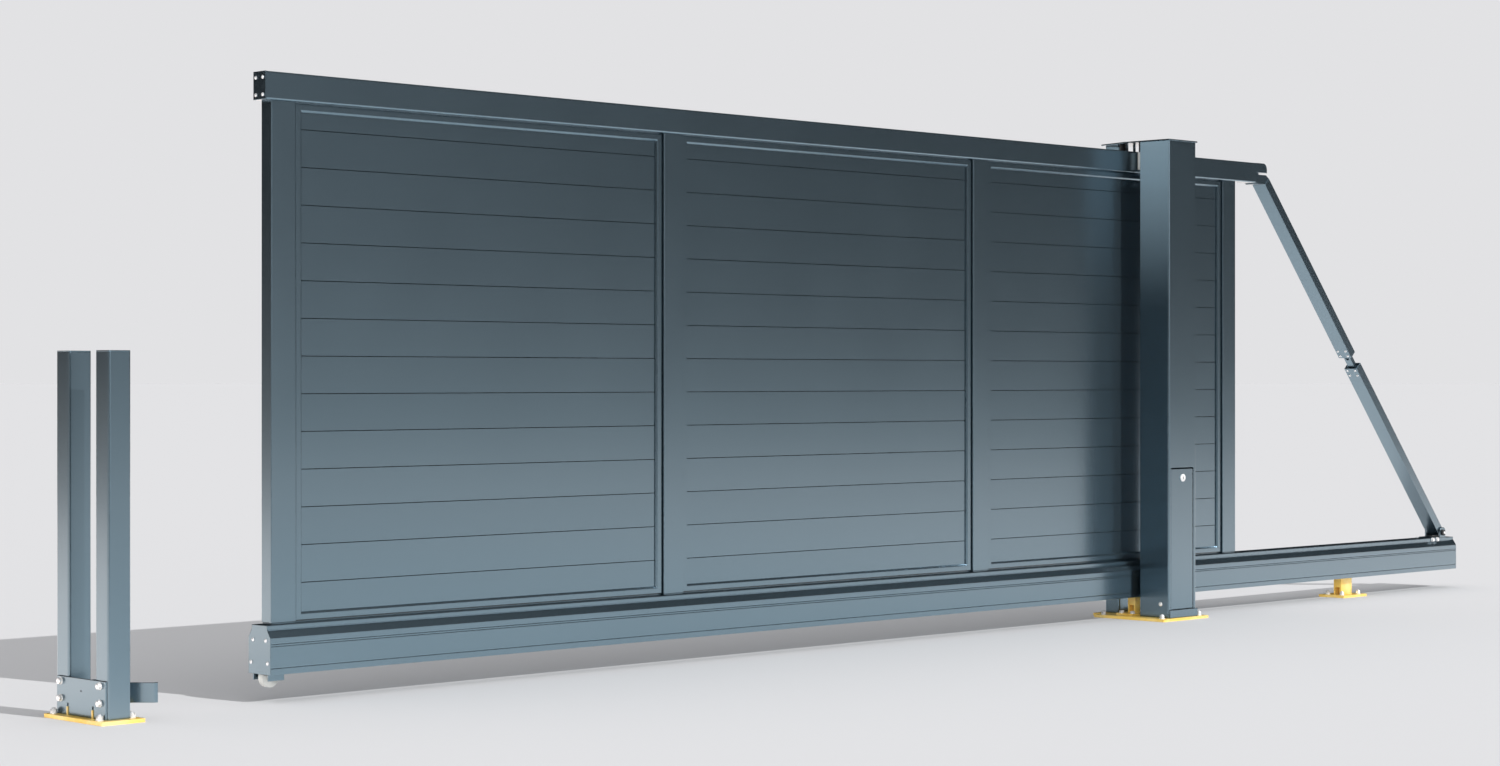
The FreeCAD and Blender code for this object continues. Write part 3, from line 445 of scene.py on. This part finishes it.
def addCapScrews(name, node, rows, diameter):
    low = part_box(node)[0]
    places = [(low.x, side * y, low.z + rise) for y, rise in rows for side in (-1, 1)]
    head = panHead(diameter, capScrews["height"], capScrews["socket"])
    turnedPieces(name, head, places, minusX, plusY, "leaf", brightZinc)


addCapScrews("railCapScrews", "rail_front_cap", capScrews["railRows"], capScrews["railDiameter"])
addCapScrews("beamCapScrews", "top_beam_front_cap", capScrews["beamRows"], capScrews["beamDiameter"])

# Bolts of the receiver's tie plate, two into each post, and the small hole in its middle as a black disc
# of painted shade
tieBolts = {"flats": 0.019, "height": 0.0085, "washer": 0.024, "washerThickness": 0.002,
            "rise": (0.050, 0.1035), "hole": 0.006, "holeRise": 0.080}


def addTieBolts():
    low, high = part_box("receiver_tie_plate")
    places = []
    for post in ("receiver_front_post", "receiver_rear_post"):
        postLow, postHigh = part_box(post)
        middle = (postLow.y + postHigh.y) / 2
        places += [(low.x, middle, low.z + rise) for rise in tieBolts["rise"]]
    head = hexHead(tieBolts["flats"], tieBolts["height"], tieBolts["washer"],
                   tieBolts["washerThickness"])
    turnedPieces("tieBolts", head, places, minusX, plusY, "posts", brightZinc)
    holePlace = (low.x, (low.y + high.y) / 2, low.z + tieBolts["holeRise"])
    turnedPieces("tieHole", disc(tieBolts["hole"]), [holePlace], minusX, plusY, "posts",
                 blackPlasticAndShade)


addTieBolts()

# Anchor studs with nuts on the base plates, and the bolts that hold the front carriage's foot
anchors = {"flats": 0.019, "height": 0.012, "washer": 0.026, "washerThickness": 0.0025, "stud": 0.012,
           "free": 0.004, "pitch": 0.002, "boltHeight": 0.008, "footHalf": (0.100, 0.045),
           "footThickness": 0.008, "footInset": (0.020, 0.015)}


# the four places of a bolt pattern about a middle
def fourPlaces(middleX, middleY, halfX, halfY, level):
    return [(middleX + sideX * halfX, middleY + sideY * halfY, level)
            for sideX in (-1, 1) for sideY in (-1, 1)]


def addAnchors():
    mounts = {mount["name"]: mount for mount in frame["record"]["mounts"]}
    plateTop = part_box("portal_base_plate")[1].z
    nut = studNut(anchors["flats"], anchors["height"], anchors["washer"], anchors["washerThickness"],
                  anchors["stud"], anchors["free"], anchors["pitch"])
    for name, pattern in (("portalAnchors", "portal_anchors"), ("receiverAnchors", "receiver_anchors"),
                          ("rearCarriageAnchors", "rear_carriage_anchors")):
        mount = mounts[pattern]
        halfX, halfY = (mount["dims"][f"spacing_{axis}_mm"] / 2000 for axis in "xy")  # half, from mm to m
        places = fourPlaces(mount["pos_m"][0], mount["pos_m"][1], halfX, halfY, plateTop)
        turnedPieces(name, nut, places, plusZ, plusY, "posts", brightZinc)
    low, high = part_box("front_carriage")
    halfX, halfY = (half - inset for half, inset in zip(anchors["footHalf"], anchors["footInset"]))
    places = fourPlaces((low.x + high.x) / 2, 0.0, halfX, halfY, low.z + anchors["footThickness"])
    bolt = hexHead(anchors["flats"], anchors["boltHeight"], anchors["washer"], anchors["washerThickness"])
    turnedPieces("frontCarriageBolts", bolt, places, plusZ, plusY, "posts", brightZinc)


addAnchors()

# Tail brace: the screws on the underside of both struts, the foot's pin with its collars, and the bolts
# on the rail's lip. Its line runs from the top hinge to the foot.
brace = {"top": (0.915, 0.0, 2.020), "foot": (2.479, 0.0, 0.280), "strutHeight": 0.044, "gap": 0.070,
         "screwDiameter": 0.0125, "screwHeight": 0.004, "screwSocket": 0.0028,
         "screwRows": (0.013, 0.044), "screwSide": 0.0215, "collar": 0.029, "collarLength": 0.009,
         "pin": 0.0125, "pinLength": 0.013, "lipFlats": 0.017, "lipHeight": 0.007, "lipWasher": 0.021,
         "lipWasherThickness": 0.002, "lipPlaces": (-0.097, -0.055), "lipDrop": 0.007, "lipSide": 0.043}


def addBraceFasteners():
    top, foot = np.array(brace["top"]), np.array(brace["foot"])
    line = (foot - top) / np.linalg.norm(foot - top)
    under = np.array((line[2], 0.0, -line[0]))
    middle = (top + foot) / 2
    screw = panHead(brace["screwDiameter"], brace["screwHeight"], brace["screwSocket"])
    places = [middle + end * (brace["gap"] / 2 + row) * line + under * brace["strutHeight"] / 2
              + np.array((0, side * brace["screwSide"], 0))
              for end in (-1, 1) for row in brace["screwRows"] for side in (-1, 1)]
    turnedPieces("couplingScrews", screw, places, under, plusY, "leaf", brightZinc)

    low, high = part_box("brace_clevis")
    collar = bar(brace["collar"], brace["collarLength"], heads["sink"])
    pin = bar(brace["pin"], brace["pinLength"], heads["sink"])
    lipHead = hexHead(brace["lipFlats"], brace["lipHeight"], brace["lipWasher"],
                      brace["lipWasherThickness"])
    for name, axis, edge, lip in (("front", minusY, low.y, -brace["lipSide"]),
                                  ("rear", plusY, high.y, brace["lipSide"])):
        end = [(foot[0], edge, foot[2])]
        turnedPieces(name + "BraceCollar", collar, end, axis, plusX, "leaf", blackPlasticAndShade)
        turnedPieces(name + "BracePin", pin, end, axis, plusX, "leaf", brightZinc)
        places = [(foot[0] + shift, lip, low.z - brace["lipDrop"]) for shift in brace["lipPlaces"]]
        turnedPieces(name + "LipBolts", lipHead, places, axis, plusX, "leaf", brightZinc)


addBraceFasteners()

# Upper guides: a black sleeve on the left pin, between its roller and the top plate, its black also
# painted shade under the plate, and the bolts of the brackets
guides = {"sleeve": 0.028, "clear": 0.001, "flats": 0.017, "height": 0.007, "washer": 0.022,
          "washerThickness": 0.002, "spread": 0.045, "drop": 0.055, "plate": 0.006}


def addGuideHardware():
    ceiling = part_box("portal_top_plate")[0].z
    bolt = hexHead(guides["flats"], guides["height"], guides["washer"], guides["washerThickness"])
    for side, axis in (("front", plusY), ("rear", minusY)):
        rollerLow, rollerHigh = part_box(side + "_guide_roller_left")
        middle = (rollerLow + rollerHigh) / 2
        level = rollerHigh.z + guides["clear"]
        sleeve = bar(guides["sleeve"], ceiling - level, 0.0)
        turnedPieces(side + "GuideSleeves", sleeve, [(middle.x, middle.y, level)], plusZ, plusY, "posts",
                     blackPlasticAndShade)
        low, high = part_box(side + "_guide_bracket")
        face = low.y + guides["plate"] if side == "front" else high.y - guides["plate"]
        places = [(end * guides["spread"], face, rollerLow.z - guides["drop"]) for end in (-1, 1)]
        turnedPieces(side + "GuideBolts", bolt, places, axis, plusX, "posts", brightZinc)


addGuideHardware()

# Screw with a wide head on the side of the portal's front post
sideScrew = {"diameter": 0.020, "height": 0.004, "socket": 0.003, "inset": 0.045, "rise": 0.060}


def addSideScrew():
    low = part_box("portal_front_post")[0]
    place = (low.x, low.y + sideScrew["inset"], low.z + sideScrew["rise"])
    head = panHead(sideScrew["diameter"], sideScrew["height"], sideScrew["socket"])
    turnedPieces("postSideScrew", head, [place], minusX, plusY, "posts", brightZinc)


addSideScrew()

# Cam lock on the service door: a raised rim and barrel with the keyway across it drawn as a black slot,
# painted shade
lock = {"sink": 0.0004, "rim": 0.003, "rimEdge": 0.0006, "rimEase": 0.3, "rimTop": 0.0016,
        "rimInside": 0.0012, "barrel": 0.0105, "gap": 0.0012, "gapEdge": 0.0004, "gapFloor": 0.0002,
        "barrelProud": 0.0014, "barrelCrown": 0.0003, "turns": 36, "keyLength": 0.0135,
        "keyWidth": 0.0042, "keyProud": 0.0006, "keyTilt": 0.5, "keyTurns": 32}


# The keyway is a slot with round ends, carried along the lock's axis and closed at both ends: a point is
# half the width times the cosine across, and half the width times the sine along, moved out by half the
# straight length.
def addLock():
    low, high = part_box("door_lock")
    middle = (low + high) / 2
    radius = (high.x - low.x) / 2
    rim, barrel, proud = lock["rim"], lock["barrel"], lock["barrelProud"]
    outline = seatRows(radius, lock["sink"]) + [
        (radius, lock["rimEdge"], 0), (radius - rim * lock["rimEase"], lock["rimTop"], 0),
        (radius - rim, lock["rimInside"], 0), (barrel + lock["gap"], lock["gapEdge"], 0),
        (barrel, lock["gapFloor"], 0), (barrel, proud, 0), (0, proud + lock["barrelCrown"], 0)]
    face = (middle.x, low.y, middle.z)
    turnedPieces("lockBarrel", outline, [face], minusY, plusX, "door", brightZinc, lock["turns"])

    turn = np.linspace(0, 2 * np.pi, lock["keyTurns"], endpoint=False)
    half = (lock["keyLength"] - lock["keyWidth"]) / 2
    across = np.cos(turn) * lock["keyWidth"] / 2
    along = np.sin(turn) * lock["keyWidth"] / 2 + np.sign(np.sin(turn)) * half
    cosine, sine = math.cos(lock["keyTilt"]), math.sin(lock["keyTilt"])
    front = -proud - lock["keyProud"]
    depth = np.array((lock["sink"], lock["sink"], front, front))
    grow = np.array((0.0, 1.0, 1.0, 0.0))
    x = middle.x + grow[:, None] * (across * cosine - along * sine)
    z = middle.z + grow[:, None] * (across * sine + along * cosine)
    y = low.y + np.repeat(depth[:, None], len(turn), axis=1)
    points = np.stack([x, y, z], axis=-1).reshape(-1, 3)
    addPiece("lockKeyway", points, ringQuads(len(depth), len(turn)), "door", blackPlasticAndShade)


addLock()
print("fasteners and lock added")

diagonal = 0.7071  # sine and cosine of 45 degrees

# Pale floor. Polished faces mirror it brighter or dimmer than the lens sees it: the long faces mirror the
# part in front of the diagonal through the gate, and the end faces the part behind it.
floorLook = {
    "size": 900.0, "colour": 0.69, "blue": 1.01,
    "leftLevel": 1.13, "rightLevel": 1.37, "leftToRight": (-2.0, 4.0),
    "leftTint": (0.97, 1.0, 1.0, 1.0), "rightTint": (1.10, 1.02, 0.98, 1.0),
    "cornerRange": (6.0, 13.0), "cornerLevel": 0.14, "nearRange": (-5.0, -1.0), "nearLevel": 1.08,
    "frontFade": (24.0, 58.0), "rightRange": (4.0, 20.0), "rightShort": 0.55,
    "behindRange": (2.0, 5.0), "backFade": (12.3, 20.0), "backLevel": 2.02, "backEnd": 0.22,
    "backTint": (1.13, 0.99, 0.92, 1.0),
}


def addFloor():
    half = floorLook["size"] / 2
    mesh = bpy.data.meshes.new("studioFloor")
    corners = np.array([(-half, -half, 0), (half, -half, 0), (half, half, 0), (-half, half, 0)])
    mesh.from_pydata(corners.tolist(), [], [(0, 1, 2, 3)])
    floor = bpy.data.objects.new("studioFloor", mesh)
    bpy.context.scene.collection.objects.link(floor)
    material, wire = newMaterial("paleFloor")
    mesh.materials.append(material)
    grey = floorLook["colour"]
    matt = wire.node("ShaderNodeBsdfDiffuse", {}, {"Color": (grey, grey, grey * floorLook["blue"], 1.0)})
    place = objectPlace(wire)
    x, y = coordinate(wire, place, 0), coordinate(wire, place, 1)
    reach = wire.math("SQRT", x * x + y * y)
    # in front: paler to the right, where it also fades out sooner, and dim far out to the front left
    level = softRange(wire, x, *floorLook["leftToRight"], floorLook["leftLevel"], floorLook["rightLevel"])
    frontLeft = (x + y) * -diagonal
    corner = softRange(wire, frontLeft, *floorLook["cornerRange"], 1.0, floorLook["cornerLevel"])
    near = softRange(wire, y, *floorLook["nearRange"], 1.0, floorLook["nearLevel"])
    farther = reach * (1.0 + softRange(wire, x, *floorLook["rightRange"], 0.0, floorLook["rightShort"]))
    front = level * corner * near * softRange(wire, farther, *floorLook["frontFade"], 1.0, 0.0)
    # behind: palest, up to where it fades out
    behind = softRange(wire, (y - x) * diagonal, *floorLook["behindRange"])
    back = softRange(wire, reach, *floorLook["backFade"], floorLook["backLevel"], floorLook["backEnd"])
    shine = front * (1.0 - behind) + back * behind
    right = softRange(wire, x, *floorLook["leftToRight"])
    frontTint = blendColours(wire, right, floorLook["leftTint"], floorLook["rightTint"])
    tint = blendColours(wire, behind, frontTint, floorLook["backTint"])
    shown = wire.node("ShaderNodeVectorMath", {"operation": "SCALE"}, {0: tint, "Scale": shine})
    mirrored = wire.node("ShaderNodeBsdfDiffuse", {}, {"Color": shown})
    glossy = wire.node("ShaderNodeLightPath", output=3)
    both = wire.node("ShaderNodeMixShader", {}, {0: glossy, 1: matt, 2: mirrored})
    wire.node("ShaderNodeOutputMaterial", {}, {"Surface": both})


# Key light from the front, a narrow light along the leaf from its left end, and a card beside the lens
lampLook = {
    "keyStrength": 2.32, "keyDirection": (-0.13, 0.77, -0.62), "keySoftness": 0.4,
    "spotPlace": (-5.9, -0.35, 3.2), "spotTarget": (-0.1, -0.16, 2.25), "spotSize": 0.2,
    "spotSpread": 15.7, "spotPower": 26.0,
    "cardStrength": 1.35, "cardDirection": (0.75, 0.62, -0.30), "cardSoftness": 20.0,
}


def addLamp(name, kind, direction, place=(0.0, 0.0, 0.0)):
    light = bpy.data.lights.new(name, kind)
    lamp = bpy.data.objects.new(name, light)
    bpy.context.scene.collection.objects.link(lamp)
    lamp.location = place
    lamp.rotation_euler = Vector(direction).to_track_quat("-Z", "Y").to_euler()
    lamp.visible_camera = False
    return lamp


def lightOnly(lamp, pieces):
    lit = bpy.data.collections.new(lamp.name + "Lit")
    for piece in pieces:
        lit.objects.link(piece)
    lamp.light_linking.receiver_collection = lit


def addLamps():
    key = addLamp("keyLight", "SUN", lampLook["keyDirection"])
    key.data.energy = lampLook["keyStrength"]
    key.data.angle = math.radians(lampLook["keySoftness"])
    # the narrow light falls on the portal's two posts alone
    place = Vector(lampLook["spotPlace"])
    spot = addLamp("sideSpot", "AREA", Vector(lampLook["spotTarget"]) - place, place)
    lightOnly(spot, [nodes["portal_front_post"], nodes["portal_rear_post"]])
    spot.visible_glossy = False
    spot.data.size = lampLook["spotSize"]
    spot.data.spread = math.radians(lampLook["spotSpread"])
    spot.data.energy = lampLook["spotPower"]
    # the card lights the zinc and nylon alone
    card = addLamp("lensCard", "SUN", lampLook["cardDirection"])
    small = [piece for piece in bpy.data.objects if piece.type == "MESH" and piece.material_slots
             and piece.material_slots[0].material in (yellowZinc, brightZinc, whiteNylon)]
    lightOnly(card, small)
    card.data.energy = lampLook["cardStrength"]
    card.data.angle = math.radians(lampLook["cardSoftness"])


# Sky: dim at the horizon and pale overhead, darker where polished faces see it, with a broad glow and a
# narrow brighter strip on the key light's side. Behind the object the lens sees the plain background.
skyLook = {
    "background": 0.761, "tint": (1.0, 1.0, 1.02, 1.0), "riseRange": (0.28, 0.95), "horizon": 0.03,
    "zenith": 1.05, "mirrorRise": (0.72, 1.0), "mirrorZenith": 0.60, "glowFrom": 0.80, "glow": 0.42,
    "stripFrom": 0.965, "strip": 2.0,
}


def addSky():
    world = bpy.data.worlds.new("paleStudio")
    bpy.context.scene.world = world
    wire = freshTree(world)
    place = wire.node("ShaderNodeTexCoord", output=0)
    rise = coordinate(wire, place, 2)
    sky = softRange(wire, rise, *skyLook["riseRange"], skyLook["horizon"], skyLook["zenith"])
    mirrorSky = softRange(wire, rise, *skyLook["mirrorRise"], 0.0, skyLook["mirrorZenith"])
    keySide = -Vector(lampLook["keyDirection"])
    keySide.z = 0.0
    facing = wire.node("ShaderNodeVectorMath", {"operation": "DOT_PRODUCT"},
                       {0: place, 1: keySide.normalized()}, output=1)
    glow = (softRange(wire, facing, skyLook["glowFrom"], 1.0, 0.0, skyLook["glow"])
            + softRange(wire, facing, skyLook["stripFrom"], 1.0, 0.0, skyLook["strip"]))
    glossy = wire.node("ShaderNodeLightPath", output=3)
    seen = wire.node("ShaderNodeLightPath", output=0)
    unseen = glossy * mirrorSky + (1.0 - glossy) * sky + glow
    strength = seen * skyLook["background"] + (1.0 - seen) * unseen
    shade = wire.node("ShaderNodeBackground", {}, {"Color": skyLook["tint"], "Strength": strength})
    wire.node("ShaderNodeOutputWorld", {}, {"Surface": shade})


addFloor()
addSky()
addLamps()
print("studio lit")

# Camera about a metre up, looking level along the diagonal
view = {"place": (-10.095, -7.6455, 1.064), "towards": (1.0, 1.0, 0.0), "lens": 67.46,
        "sensorWidth": 36.0, "shiftY": -0.0033, "farthest": 2000.0}


def addCamera():
    lens = bpy.data.cameras.new("photoCamera")
    lens.sensor_width = view["sensorWidth"]
    lens.lens = view["lens"]
    lens.shift_y = view["shiftY"]
    lens.clip_end = view["farthest"]
    camera = bpy.data.objects.new("photoCamera", lens)
    bpy.context.scene.collection.objects.link(camera)
    camera.location = view["place"]
    camera.rotation_euler = Vector(view["towards"]).to_track_quat("-Z", "Y").to_euler()
    bpy.context.scene.camera = camera


addCamera()
bpy.context.scene.view_settings.view_transform = "Standard"
